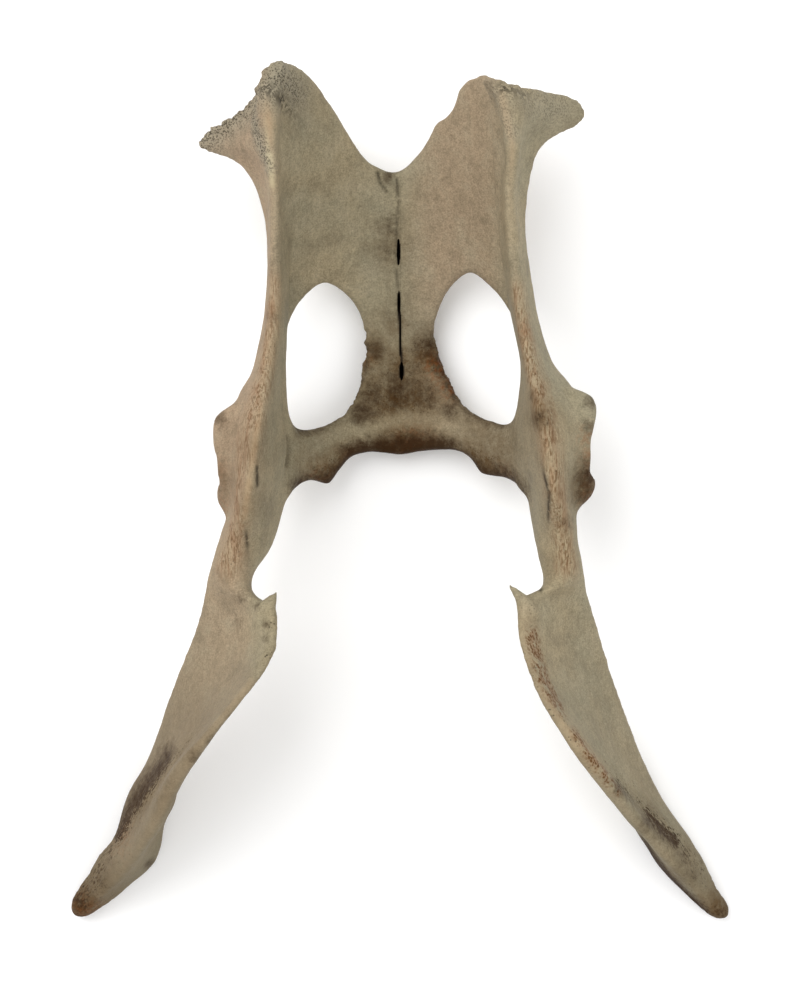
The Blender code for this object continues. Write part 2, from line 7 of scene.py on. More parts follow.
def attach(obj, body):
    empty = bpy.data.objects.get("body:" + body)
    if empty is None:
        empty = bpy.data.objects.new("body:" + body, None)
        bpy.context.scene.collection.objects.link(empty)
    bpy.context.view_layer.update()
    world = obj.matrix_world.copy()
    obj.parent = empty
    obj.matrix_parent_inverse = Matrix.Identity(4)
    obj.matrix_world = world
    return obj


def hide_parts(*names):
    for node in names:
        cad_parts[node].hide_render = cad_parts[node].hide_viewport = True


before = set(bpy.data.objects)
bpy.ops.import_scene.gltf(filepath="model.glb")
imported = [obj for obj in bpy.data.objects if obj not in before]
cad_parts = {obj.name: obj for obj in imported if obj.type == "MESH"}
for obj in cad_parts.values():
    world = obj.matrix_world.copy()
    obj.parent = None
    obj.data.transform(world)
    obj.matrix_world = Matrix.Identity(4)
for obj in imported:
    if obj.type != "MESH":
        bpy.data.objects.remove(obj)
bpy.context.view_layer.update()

bl_info = {
    "name": "Deer pelvis",
    "version": (1, 0, 0),
    "blender": (4, 5, 0),
    "location": "3D View > Sidebar > Deer pelvis",
    "description": "Weathered pelvis of a deer, lying belly side down",
    "category": "Object",
}

MM = 0.001
SIDES = {"left": 1.0, "right": -1.0}
BONES = ("ilium", "ischium", "pubis")

# Places on the bone in millimetres: x to the animal's left, y to its tail end, z to its back
ISCHIUM_RIDGE = {
    "right": [(-39.5, 118, 61), (-38.5, 103, 58), (-37.5, 90, 54), (-37.5, 59, 49), (-39, 44, 51),
              (-42, 22, 61), (-44.5, 6, 63), (-46.5, -7, 57)],
    "left": [(30, 120, 60), (33.5, 103, 58), (33, 90, 54), (35, 62, 49), (37.5, 46, 51),
             (42, 23, 62), (44.5, 11, 63), (46.5, -3, 59)],
}
WING_CREST = {
    "right": [(-44, -55, 71), (-57, -71, 71), (-67.5, -87, 60), (-75, -101, 45), (-82, -112, 31),
              (-93, -124, 15), (-99, -129, 7)],
    "left": [(42, -57, 71), (51, -71, 71), (63, -89, 58), (72, -100, 46), (81, -110, 33),
             (93, -124, 15), (99, -129, 7)],
}
CREST_STRIP = {
    "right": [(-66, -75, 50), (-73, -85, 40), (-80, -98, 25), (-86, -108, 15), (-95, -121, 7)],
    "left": [(66, -81, 48), (72, -88, 38), (80, -100, 24), (88, -110, 14), (96, -122, 7)],
}
WING_INNER_MARGIN = {
    "right": [(-38, -34, 60), (-38, -44, 66), (-42, -54, 70)],
    "left": [(37, -33, 58), (37, -46, 66), (41, -58, 71), (50, -70, 71), (58, -80, 67)],
}
TUBER_EDGE = {
    "right": [(-40, 129, 57), (-43, 124, 56), (-45, 118, 50), (-50, 114, 44), (-55, 112, 39)],
    "left": [(14, 115, 45), (18, 121, 54), (24, 124, 57), (30, 121.5, 57), (38, 121, 50)],
}
# Spongy bone laid open where the tuber has broken away
SPONGY_BONE = {
    "right": [(-30, 121, 48), (-35, 126, 57), (-39, 121, 58), (-44, 118, 52), (-52, 113, 42),
              (-60, 107, 36)],
    "left": [(23, 120, 56), (30, 119, 58), (38, 118, 50), (47, 117, 42)],
}
SPONGY_STRIP = {
    "right": [(-44.5, 116, 55), (-43.4, 112, 56), (-41.8, 105, 56), (-40.0, 98, 56)],
    "left": [(30, 116, 60), (33, 108, 59)],
}
DEEP_PITS = {
    "right": [(-40, 121, 57), (-35, 118, 55), (-28, 112, 46)],
    "left": [(31, 121, 57), (36, 119, 52)],
}
JAGGED_MARGIN = {
    "right": [(-16, 25, 11), (-12.5, 31, 9.5), (-11.5, 38, 9), (-10.3, 44.5, 9), (-10.5, 50, 9.5)],
    "left": [(17.5, 29.5, 11), (14, 36, 10), (11.5, 43, 9), (10, 50, 9.5)],
}
# Painted highlight on the crest of the right ridge: a cream streak, and the fine pale line along it
CREAM_HIGHLIGHT_STREAK = [(-39.0, 101.5, 57), (-38.6, 98, 57), (-38.2, 93, 56)]
CREAM_HIGHLIGHT_LINE = [(-41.0, 123, 57), (-40.0, 111, 57), (-39.0, 101, 57), (-38.0, 92, 56), (-37.6, 74, 53)]
# Paler band across the arch, between two darker ones
ARCH_BAND = [(-26, 15, 15), (-18, 19, 12), (-8, 21, 10), (0, 24, 10), (10, 23.5, 10), (18, 21, 12),
             (28, 15, 15)]
# Band of brown pores beside the ridge
PORED_BAND = {
    "right": [(-40, 62, 50), (-41, 40, 52), (-44.5, 25, 57), (-47.5, 10, 58), (-49.5, -5, 53),
              (-52, -20, 46)],
    "left": [(36, 60, 50), (38.5, 40, 53), (43, 25, 60), (46, 10, 61), (48.5, -5, 56), (50.5, -20, 48)],
}
SOCKET = {"right": (-50.0, 11.4, 29.0), "left": (53.2, 13.4, 29.0)}

# How much duller the wings are: places along the bone and strengths there
DULL_WING = {
    "right": ((-130, -112, -85, -60, -35), (0.85, 0.66, 0.5, 0.4, 0.0)),
    "left": ((-130, -112, -85, -60, -35), (0.75, 0.4, 0.26, 0.2, 0.0)),
}

# Slits in the back of the symphysis: middle, length, width, shift to the left, height of the bottom
SLITS = [(75.0, 8.0, 1.0, -0.45, 6.5), (59.6, 7.0, 0.85, -0.3, 5.0), (50.0, 14.0, 0.45, 0.1, 6.0),
         (38.6, 5.6, 1.15, 0.5, 4.0)]
# Fine dark line along the slits
SLIT_LINE = [(-0.8, 63.5, 12), (-0.5, 56, 11), (0.0, 50, 11), (0.4, 44, 10), (0.7, 37, 10)]

# Fine cracks, as lines
CRACKS = [
    [(-42.5, 8.8, 60), (-42.3, 3.3, 60)],
    [(-46.3, -6.8, 52), (-45.7, -13.6, 50), (-45.1, -22.6, 49)],
    [(41.1, 11.3, 60), (44.4, 1, 58), (44, -7.6, 52), (42.8, -19.6, 50), (42.0, -28, 50)],
    [(-6.8, 99, 18), (-6.1, 96, 18), (-4.1, 93.2, 17)],
    [(-1.0, 97, 17), (-0.5, 90, 16), (-0.9, 84, 15), (-1.2, 70, 13), (-0.6, 64, 12), (0.2, 50, 11)],
]

# Dark brown stains: place, radius, strength
STAINS = [
    ((-11, 25, 10), 5.5, 1.0), ((0, 32, 10), 8, 0.85), ((-8, 31, 10), 6, 0.8), ((8, 31, 10), 6, 0.75),
    ((15, 25.5, 12), 4.5, 0.9), ((8.2, 46, 11), 4.5, 0.85), ((-8, 45, 11), 3.8, 0.75),
    ((3, 38, 10), 5, 0.6),
    ((-3.5, 83, 15), 4, 0.6), ((-4.5, 75, 14), 3.5, 0.5), ((-3.3, 98, 17), 2.4, 0.85),
    ((56.5, 6.5, 36), 5, 1.15), ((54.4, 0.3, 36), 4, 0.75), ((-54, 23.5, 42), 2.8, 0.75),
    ((57.5, 28, 42), 2.6, 0.75), ((56.5, 21, 43), 2.6, 0.55), ((54, 10.5, 40), 3, 0.7),
    ((-77.3, -88.5, 24), 6.0, 1.0), ((-84.6, -102.7, 14), 4.0, 0.8), ((-92.5, -116.7, 10), 5, 0.72),
    ((-88, -110, 13), 4.5, 0.68), ((-97.6, -124.5, 6), 4.5, 0.95),
    ((-100, -129, 5), 4, 0.8), ((-77.7, -112.5, 6), 2.2, 0.95), ((-66, -78, 50), 4, 0.45),
    ((70.3, -88.4, 48), 3.6, 0.8), ((76.5, -96, 38), 5.0, 1.1), ((82.6, -103.5, 26), 4.2, 0.85),
    ((86, -109, 20), 4.5, 0.7),
    ((88.5, -114, 15), 6, 0.58), ((98.7, -128, 6), 4, 0.75),
    ((-38.5, 54, 50), 2.2, 0.6), ((50, -8, 50), 3.5, 0.5), ((53, -43, 50), 5, 0.42),
    ((-50, -38, 50), 4, 0.4),
    ((41, 23, 61), 3.2, 0.75), ((39.5, 30, 58), 2.4, 0.6), ((-27, 34, 11), 5, 0.5),
    ((-46.8, -58, 60), 1.8, 0.75), ((-51, -64.2, 66), 1.8, 0.8), ((-53.3, -67.1, 66), 1.6, 0.7),
    ((-56, -71.3, 66), 1.8, 0.75), ((-60.9, -76.4, 64), 2.2, 0.85), ((-39.7, -38, 60), 1.5, 0.75),
    ((-39.4, -42.1, 62), 1.3, 0.7), ((-42.4, -32.6, 56), 1.6, 0.7), ((-48, -30, 50), 2.6, 0.5),
]
# Stains along an edge, the last of them a painted shadow: line, radius, strength
EDGE_STAINS_AND_SHADOW = [
    ([(-31, 3, 22), (-22, 4, 15), (-18, 8, 12), (-13, 13, 9)], 4.0, 1.1),
    ([(-14, 14, 9), (0, 15.5, 9), (14, 15, 9)], 5.2, 1.2),
    ([(13, 13.5, 9), (20, 11, 12), (25, 7, 14), (33, 6, 20), (38, 2, 26)], 4.0, 1.1),
    ([(-30, 20, 19), (-22, 23, 15), (-14, 31, 12), (-11.5, 40, 11)], 3.2, 0.75),
    ([(30, 23, 19), (22, 26, 15), (16, 32, 12), (12, 42, 11)], 3.2, 0.8),
    ([(-71, -79, 32), (-77.3, -88.5, 24), (-82, -96.5, 14), (-85, -103, 12)], 5.0, 1.05),
    ([(67, -85, 54), (74.7, -91.5, 42), (78.6, -99.5, 32), (83, -104.5, 24)], 3.9, 1.1),
    ([(-88, -108, 12), (-93, -117, 10), (-98, -126, 6)], 4.5, 0.6),
    # Painted shadow, not a stain: the medial face along the lower edge of the left wing's tip, turned from
    # the light
    ([(75, -106, 5), (80, -113, 4), (86, -120, 3), (93, -127, 2)], 3.8, 1.25),
]
# Brown wash around the stains: place, radius, strength
WASHES = [
    ((0, 29, 10), 15, 1.0), ((0, 15, 9), 14, 1.0), ((-21, 9, 13), 11, 0.85), ((24, 11, 14), 12, 1.0),
    ((-9, 44, 11), 8, 0.85), ((9, 43, 11), 8, 1.0), ((-27, 20, 17), 6, 0.4), ((28, 22, 17), 7, 0.5),
    ((-42, -2, 60), 9, 0.3), ((-43, 14, 60), 9, 0.3),
    ((-2.5, 76, 14), 7, 0.5), ((-0.5, 53, 11), 6, 0.6), ((0.5, 40, 10), 8, 0.85), ((56, 3, 36), 8, 0.9),
    ((-54, 4, 36), 8, 0.5), ((-92, -119, 12), 9, 0.45),
    ((-98, -126, 6), 9, 1.0), ((97, -127, 6), 9, 0.85), ((-78, -91, 26), 9, 0.45), ((77, -96, 36), 8, 0.3),
    ((-64, -72, 55), 13, 0.25), ((-73, -86, 45), 10, 0.35), ((84, -113, 5), 8, 0.6),
    ((41, 24, 60), 6, 0.5), ((-31, 118, 50), 8, 0.25),
]
# Rust red patches: place, radius, strength
RUST = [
    ((12.5, 40, 12), 4.5, 1.2), ((15.5, 34, 12), 4, 1.2), ((-12, 42, 11), 3, 0.7), ((4, 15, 8), 6, 0.75),
    ((-25, 3, 15), 5, 0.7), ((-14, 12, 9), 4, 0.5), ((-41, -60, 68), 4, 0.3), ((-84, -104, 20), 6, 0.4),
    ((-98, -128, 6), 6, 0.6), ((36, 50, 50), 4, 0.4), ((-39, 112, 60), 4, 0.12), ((-56, 8, 38), 4, 0.5),
    ((-54, -4, 36), 4, 0.5),
    ((57, 8, 36), 4, 0.6), ((57, 0, 36), 4, 0.6), ((56, 18, 42), 4, 0.5),
    ((57, 12, 40), 4, 0.7), ((-41, 56, 45), 3, 0.5), ((33, 6, 20), 4, 0.5),
]
# Rusty pores a little inside the margin of the left wing
RUST_PORES = [
    ([(39.4, -41, 61), (41.2, -49, 65), (42.8, -54.5, 67), (45.2, -58, 68), (49, -63, 69)], 2.1, 1.0),
    ([(52.5, -69.5, 69), (56, -75, 68), (59.8, -80.7, 65), (65, -87, 59)], 1.9, 0.95),
]

# How wide each zone is around its line, and how much a difference in height counts in the distance
ZONE_REACH = {
    "ridge": (1.3, 1.0), "crest": (1.7, 1.0), "strip": (7.5, 1.0), "margin": (2.6, 1.0),
    "pored": (4.6, 0.7), "spongy": (6.0, 0.7), "spongy strip": (3.0, 0.7), "deep": (2.2, 0.4),
    "jagged": (3.4, 1.0), "arch band": (2.8, 0.35), "cream streak": (1.1, 0.3),
    "cream line": (0.6, 0.3), "left margin": (3.4, 0.5), "crack": (0.55, 0.25),
    "slit line": (0.3, 0.25),
}
TUBER_REACH = {"left": 3.0, "right": 4.0}
SOCKET_REACH = 13.5
# How much a difference in height counts for the stains and the rust
STAIN_UPRIGHT = 0.35
RUST_UPRIGHT = 0.5
RUST_PORE_UPRIGHT = 0.3
# Strength of a zone next to the one that it is mixed with
CREST_SHARE = 0.35
PORED_ROUGHNESS = 0.35
MARGIN_ROUGHNESS = 0.8
SPONGY_SHARE = {"left": 0.5, "right": 1.0}
CREAM_HIGHLIGHT_LINE_SHARE = 0.5
# How much of the stain and of the wash the pale band of the arch loses
ARCH_STAIN_LOSS = 0.75
ARCH_WASH_LOSS = 0.55
# Warm zone: softness of its border on the ridge, start and softness of the tail half along the
# bone, middle and half width of the left table, start and softness of that table, distance from
# the midline at which the floor turns warm, and how warm the wing, the table and the floor are
WARM_BORDER = 1.2
TAIL_HALF = (-12, 8)
TABLE_ACROSS = (18, 14)
TABLE_ALONG = (52, 5)
MIDLINE_REACH = 9
WING_WARMTH = 0.62
TABLE_WARMTH = 0.75
FLOOR_WARMTH = 0.3
# Painted shade inside the slits: how far it goes beyond them, lowest height, strength of the fine line
SLIT_MARGIN_ACROSS = 0.08
SLIT_MARGIN_ALONG = 0.1
SLIT_LOWEST = 3.0
SLIT_LINE_STRENGTH = 2.2
# How far the zones of one hip bone reach over the midline
SIDE_OVERLAP = 1.0

# Skin: distance at which vertices merge, steps of a zone's weight, fewest faces of a hip bone
MERGE_STEP = 0.02
GROUP_LEVELS = 20
FEWEST_FACES = 10000
# Cut between the hip bones: its tolerance, and how near to it a vertex counts as on it
CUT_TOLERANCE = 0.001
ON_CUT = 0.01
# Body that cuts a slit
CUTTER_HEIGHT = 40.0
CUTTER_SIDES = 24
# Relief in the order that it is laid on: name, kind of noise, grain and depth in millimetres,
# zone that it lies in, other settings
RELIEF = [
    ("broad swell", "CLOUDS", 14.0, 0.5, None, {}),
    ("gentle growth", "CLOUDS", 5.0, 0.22, "smooth", {}),
    ("rough growth", "CLOUDS", 2.6, 0.55, "rough", {"noise_depth": 2}),
    ("pores", "STUCCI", 1.3, 0.4, "rough", {"middle": 0.6, "turbulence": 8.0}),
    ("broken edge", "CLOUDS", 3.4, 3.4, "eroded", {"middle": 0.6, "noise_depth": 2}),
    ("broken pores", "STUCCI", 1.4, 0.9, "spongy", {"middle": 0.6, "turbulence": 8.0}),
    ("chipped margin", "CLOUDS", 2.4, 2.6, "jagged", {"noise_depth": 1}),
    ("socket floor", "CLOUDS", 2.2, 0.35, "socket", {}),
]

# How noise is drawn out: along the growth lines, the ridges and the streaks of the crest
STRETCH = {"growth": (1, 0.12, 0.5), "ridge": (1, 0.16, 0.6), "crest": (1, 0.35, 0.5)}
# Turn of the crest's streaks, in radians
CREST_LEAN = 0.8
# Reach of the painted shade in hollows, and the gloss and fine relief of the bone
HOLLOW_SHADE_REACH = 4.0
BONE_IOR = 1.5
BONE_SPECULAR = 0.08
BUMP_STRENGTH = 0.8
BUMP_DEPTH = 0.45

# Stage: floor, main light, fill light with its share of the main one, and camera, with lengths in
# metres and the sensor in millimetres
FLOOR_HALF = 3.0
FLOOR_ROUGHNESS = 0.9
FLOOR_SPECULAR = 0.1
KEY_PLACE = (-0.66, 0.66, 1.3)
KEY_SIZE = 1.3
FILL_PLACE = (0.9, -0.4, 1.1)
FILL_SIZE = 1.1
FILL_SHARE = 0.3
SKY_COLOUR = (1.0, 1.0, 1.0, 1.0)
SENSOR_HEIGHT = 36.0
NEAR_CLIP = 0.05
CAMERA_ALONG = -0.001


def linear(hex_colour):
    """Shader colour from an sRGB hex value."""
    parts = [int(hex_colour[i:i + 2], 16) / 255 for i in (0, 2, 4)]
    return [p / 12.92 if p <= 0.04045 else ((p + 0.055) / 1.055) ** 2.4 for p in parts] + [1.0]


def line_weight(points, line, radius, upright=1.0):
    """Closeness of each point to a line of places; a low upright factor makes heights count less."""
    scale = np.array([1.0, 1.0, upright])
    points = points * scale
    best = np.full(len(points), 1e9)
    for a, b in zip(line, line[1:]):
        a, b = np.array(a, float) * scale, np.array(b, float) * scale
        along = b - a
        part = np.clip(((points - a) @ along) / (along @ along), 0, 1)
        best = np.minimum(best, np.linalg.norm(points - a - part[:, None] * along, axis=1))
    return np.exp(-(best / radius) ** 2)


def spot_weight(points, spots, upright):
    """Strongest of many round spots, each with its own radius and strength."""
    total = np.zeros(len(points))
    scale = np.array([1.0, 1.0, upright])
    for place, radius, strength in spots:
        distance = np.linalg.norm((points - np.array(place, float)) * scale, axis=1)
        total = np.maximum(total, strength * np.exp(-(distance / radius) ** 2))
    return total


def side_line(side):
    """Distance of the ridge and wing crest from the midline, along the bone."""
    line = sorted(ISCHIUM_RIDGE[side] + WING_CREST[side], key=lambda place: place[1])
    return [place[1] for place in line], [abs(place[0]) for place in line]


def rise(value, start, softness):
    """Smooth step from 0 to 1."""
    return 1 / (1 + np.exp(-(value - start) / softness))


def warm_zone(points, side):
    """Where the bone is pinkish tan instead of green grey."""
    across, along = points[:, 0] * SIDES[side], points[:, 1]
    lateral = rise(across, np.interp(along, *side_line(side)), WARM_BORDER)
    tail_half = rise(along, *TAIL_HALF)
    if side == "right":
        return lateral * (tail_half + (1 - tail_half) * WING_WARMTH)
    middle, half_width = TABLE_ACROSS
    table = np.exp(-((across - middle) / half_width) ** 4) * rise(along, *TABLE_ALONG)
    off_midline = 1 - np.exp(-(across / MIDLINE_REACH) ** 2)
    return tail_half * (1 - lateral) * np.maximum(TABLE_WARMTH * table, FLOOR_WARMTH * off_midline)


def slit_zone(points):
    """Painted shade inside the slits of the symphysis, and the fine line along them."""
    inside = np.zeros(len(points))
    for middle, length, width, lean, _ in SLITS:
        across = (points[:, 0] - lean) / (width / 2 + SLIT_MARGIN_ACROSS)
        along = (points[:, 1] - middle) / (length / 2 + SLIT_MARGIN_ALONG)
        inside = np.maximum(inside, across ** 2 + along ** 2 < 1)
    thin = np.clip(SLIT_LINE_STRENGTH * line_weight(points, SLIT_LINE, *ZONE_REACH["slit line"]), 0, 1)
    return np.maximum(inside, thin) * (points[:, 2] > SLIT_LOWEST)


def side_zones(points, side):
    """Wear zones of one hip bone at points given in millimetres."""
    def near(place, key):
        return line_weight(points, place[side], *ZONE_REACH[key])

    to_socket = np.linalg.norm(points - np.array(SOCKET[side]), axis=1)
    strip, pored = near(CREST_STRIP, "strip"), near(PORED_BAND, "pored")
    margin = near(WING_INNER_MARGIN, "margin")
    spongy = np.maximum(near(SPONGY_BONE, "spongy"), near(SPONGY_STRIP, "spongy strip"))
    return {
        "ridge": np.maximum(near(ISCHIUM_RIDGE, "ridge"), CREST_SHARE * near(WING_CREST, "crest")),
        "pored": pored,
        "rough": np.maximum.reduce([PORED_ROUGHNESS * pored, strip, MARGIN_ROUGHNESS * margin]),
        "strip": strip,
        "eroded": line_weight(points, TUBER_EDGE[side], TUBER_REACH[side]),
        "spongy": SPONGY_SHARE[side] * spongy,
        "deep": near(DEEP_PITS, "deep"),
        "jagged": near(JAGGED_MARGIN, "jagged"),
        "socket": np.exp(-(to_socket / SOCKET_REACH) ** 6),
        "warm": warm_zone(points, side),
        "dull": np.interp(points[:, 1], *DULL_WING[side]),
    }


def edge_weight(points, edges, upright):
    """Strongest of several lines, each with its own radius and strength."""
    return np.maximum.reduce(
        [strength * line_weight(points, line, radius, upright) for line, radius, strength in edges])


def surface_zones(points):
    """Wear and stain zones at points given in millimetres."""
    zones = {}
    for side in SIDES:
        own = points[:, 0] * SIDES[side] > -SIDE_OVERLAP
        for name, weight in side_zones(points, side).items():
            zones[name] = np.maximum(zones.get(name, 0.0), own * weight)
    band = line_weight(points, ARCH_BAND, *ZONE_REACH["arch band"])
    # The stain zone also holds the painted shadow under the left wing's tip
    stain = np.maximum(spot_weight(points, STAINS, STAIN_UPRIGHT),
                       edge_weight(points, EDGE_STAINS_AND_SHADOW, STAIN_UPRIGHT))
    zones["stain"] = stain * (1 - ARCH_STAIN_LOSS * band)
    zones["wash"] = spot_weight(points, WASHES, STAIN_UPRIGHT) * (1 - ARCH_WASH_LOSS * band)
    zones["rust"] = spot_weight(points, RUST, RUST_UPRIGHT)
    zones["rust_pores"] = edge_weight(points, RUST_PORES, RUST_PORE_UPRIGHT)
    # Painted highlight along the crest of the right ridge
    highlight_line = line_weight(points, CREAM_HIGHLIGHT_LINE, *ZONE_REACH["cream line"])
    zones["cream"] = np.maximum(line_weight(points, CREAM_HIGHLIGHT_STREAK, *ZONE_REACH["cream streak"]),
                                CREAM_HIGHLIGHT_LINE_SHARE * highlight_line)
    zones["margin"] = line_weight(points, WING_INNER_MARGIN["left"], *ZONE_REACH["left margin"])
    zones["crack"] = np.maximum.reduce(
        [line_weight(points, line, *ZONE_REACH["crack"]) for line in CRACKS])
    zones["slit"] = slit_zone(points)
    return zones


def mesh_points(mesh):
    flat = np.empty(len(mesh.vertices) * 3)
    mesh.vertices.foreach_get("co", flat)
    return flat.reshape(-1, 3)


def bake_modifiers(thing):
    """Turn the live modifiers of an object into its mesh."""
    graph = bpy.context.evaluated_depsgraph_get()
    mesh = bpy.data.meshes.new_from_object(thing.evaluated_get(graph))
    old = thing.data
    thing.modifiers.clear()
    thing.data = mesh
    bpy.data.meshes.remove(old)


def new_object(bm, name):
    mesh = bpy.data.meshes.new(name)
    bm.to_mesh(mesh)
    bm.free()
    thing = bpy.data.objects.new(name, mesh)
    bpy.context.scene.collection.objects.link(thing)
    return thing


def drop_object(thing):
    mesh = thing.data
    bpy.data.objects.remove(thing, do_unlink=True)
    bpy.data.meshes.remove(mesh)


def relief(thing, name, kind, grain_mm, depth_mm, group, middle=0.5, **settings):
    """One layer of surface relief, as deep as given, within a vertex group."""
    texture = bpy.data.textures.new(name, kind)
    texture.noise_scale = grain_mm * MM
    for key, value in settings.items():
        setattr(texture, key, value)
    step = thing.modifiers.new(name, "DISPLACE")
    step.texture = texture
    step.texture_coords = "LOCAL"
    step.strength = depth_mm * MM
    step.mid_level = middle
    if group:
        step.vertex_group = group


def add_groups(thing, zones):
    """Vertex groups with the weights of the zones, in even steps."""
    for name, weights in zones.items():
        group = thing.vertex_groups.new(name=name)
        steps = np.round(np.clip(weights, 0, 1) * GROUP_LEVELS).astype(int)
        for level in range(1, GROUP_LEVELS + 1):
            members = np.flatnonzero(steps == level).tolist()
            if members:
                group.add(members, level / GROUP_LEVELS, "REPLACE")


def whole_bone(props):
    """All six parts as one even skin, without the thin gaps between them."""
    bm = bmesh.new()
    for side in SIDES:
        for bone in BONES:
            part = bmesh.new()
            part.from_mesh(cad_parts[bone + "_" + side].data)
            bmesh.ops.remove_doubles(part, verts=part.verts, dist=MERGE_STEP * MM)
            bmesh.ops.recalc_face_normals(part, faces=part.faces)
            part.normal_update()
            for vert in part.verts:
                vert.co += vert.normal * props.seam_fill
            spare = bpy.data.meshes.new("spare")
            part.to_mesh(spare)
            part.free()
            bm.from_mesh(spare)
            bpy.data.meshes.remove(spare)
    whole = new_object(bm, "pelvis_skin")
    step = whole.modifiers.new("even skin", "REMESH")
    step.mode = "VOXEL"
    step.voxel_size = props.skin_step
    soften = whole.modifiers.new("soften", "SMOOTH")
    soften.factor = 0.5
    soften.iterations = props.soften_rounds
    fine = whole.modifiers.new("fine skin", "SUBSURF")
    fine.levels = fine.render_levels = 1
    bake_modifiers(whole)
    return whole


def wear(whole):
    """Raise knobs, pits, pores and growth lines on the skin."""
    zones = surface_zones(mesh_points(whole.data) / MM)
    groups = {key: zones[key] for key in ("rough", "eroded", "spongy", "jagged", "socket")}
    groups["smooth"] = np.clip(1 - zones["rough"] - zones["eroded"] - zones["socket"], 0, 1)
    add_groups(whole, groups)
    for name, kind, grain_mm, depth_mm, group, settings in RELIEF:
        relief(whole, name, kind, grain_mm, depth_mm, group, **settings)
    bake_modifiers(whole)
    points = mesh_points(whole.data)
    points[:, 2] = np.maximum(points[:, 2], 0.0)
    whole.data.vertices.foreach_set("co", points.ravel())


def cut_half(whole, side, props):
    """Half of the pelvis, closed flat on the cut beside the midline."""
    bm = bmesh.new()
    bm.from_mesh(whole.data)
    sign = SIDES[side]
    geometry = list(bm.verts) + list(bm.edges) + list(bm.faces)
    offset = Vector((props.suture_shift, 0, 0))
    bmesh.ops.bisect_plane(bm, geom=geometry, dist=CUT_TOLERANCE * MM, plane_co=offset,
                           plane_no=Vector((-sign, 0, 0)), clear_outer=True)
    rim = [edge for edge in bm.edges if edge.is_boundary]
    bmesh.ops.holes_fill(bm, edges=rim, sides=0)
    bmesh.ops.triangulate(bm, faces=[face for face in bm.faces if len(face.verts) > 4])
    bmesh.ops.recalc_face_normals(bm, faces=bm.faces)
    return new_object(bm, "hip_bone_" + side)


def slit_cutter(middle, length, width, lean, bottom):
    """Thin lens that opens a slit along the symphysis, down to the height of its bottom."""
    bm = bmesh.new()
    place = Matrix.Translation((lean * MM, middle * MM, (bottom + CUTTER_HEIGHT / 2) * MM))
    size = Matrix.Diagonal((width / 2 * MM, length / 2 * MM, CUTTER_HEIGHT * MM, 1))
    bmesh.ops.create_cone(bm, cap_ends=True, segments=CUTTER_SIDES, radius1=1, radius2=1, depth=1,
                          matrix=place @ size)
    return new_object(bm, "slit_cutter")


def open_slits(piece):
    """Cut every slit of the symphysis into one hip bone."""
    for slit in SLITS:
        cutter = slit_cutter(*slit)
        step = piece.modifiers.new("slit", "BOOLEAN")
        step.operation = "DIFFERENCE"
        step.solver = "EXACT"
        step.object = cutter
        bake_modifiers(piece)
        drop_object(cutter)


def write_zones(piece):
    """Store the wear and stain zones on the mesh for the material."""
    mesh = piece.data
    for name, values in surface_zones(mesh_points(mesh) / MM).items():
        layer = mesh.attributes.new(name, "FLOAT", "POINT")
        layer.data.foreach_set("value", values.astype(np.float32))


def shade_faces(piece, suture_shift):
    """Shade the bone smooth, and the cut between the hip bones flat."""
    mesh = piece.data
    on_plane = np.abs(mesh_points(mesh)[:, 0] - suture_shift) < ON_CUT * MM
    corners, starts = np.empty(len(mesh.loops), int), np.empty(len(mesh.polygons), int)
    mesh.loops.foreach_get("vertex_index", corners)
    mesh.polygons.foreach_get("loop_start", starts)
    on_cut = np.logical_and.reduceat(on_plane[corners], starts)
    mesh.polygons.foreach_set("use_smooth", ~on_cut)


class Board:
    """Node tree of one material, with short calls for its nodes."""

    def __init__(self, name):
        self.material = bpy.data.materials.new(name)
        self.material.use_nodes = True
        self.tree = self.material.node_tree
        self.shader = self.tree.nodes["Principled BSDF"]

    def add(self, kind, inputs=None, **settings):
        """Add one node with its settings, and link or set its inputs."""
        node = self.tree.nodes.new(kind)
        for key, value in settings.items():
            setattr(node, key, value)
        for key, value in (inputs or {}).items():
            self.feed(node.inputs[key], value)
        return node

    def feed(self, socket, value):
        if isinstance(value, bpy.types.NodeSocket):
            self.tree.links.new(value, socket)
        else:
            socket.default_value = value

    def ramp(self, source, low, high, start=0.0, end=1.0):
        """Map a value between two limits to a start and an end, and hold it there."""
        limits = {0: source, 1: low, 2: high, 3: start, 4: end}
        return self.add("ShaderNodeMapRange", limits, clamp=True).outputs[0]

    def combine(self, operation, first, second):
        """Result of an operation on two values, held between 0 and 1."""
        inputs = {0: first, 1: second}
        return self.add("ShaderNodeMath", inputs, operation=operation, use_clamp=True).outputs[0]

    def times(self, first, second):
        return self.combine("MULTIPLY", first, second)

    def plus(self, first, second):
        return self.combine("ADD", first, second)

    def larger(self, first, second):
        return self.combine("MAXIMUM", first, second)

    def blend(self, factor, first, second):
        return self.add("ShaderNodeMix", {0: factor, 6: first, 7: second}, data_type="RGBA").outputs[2]


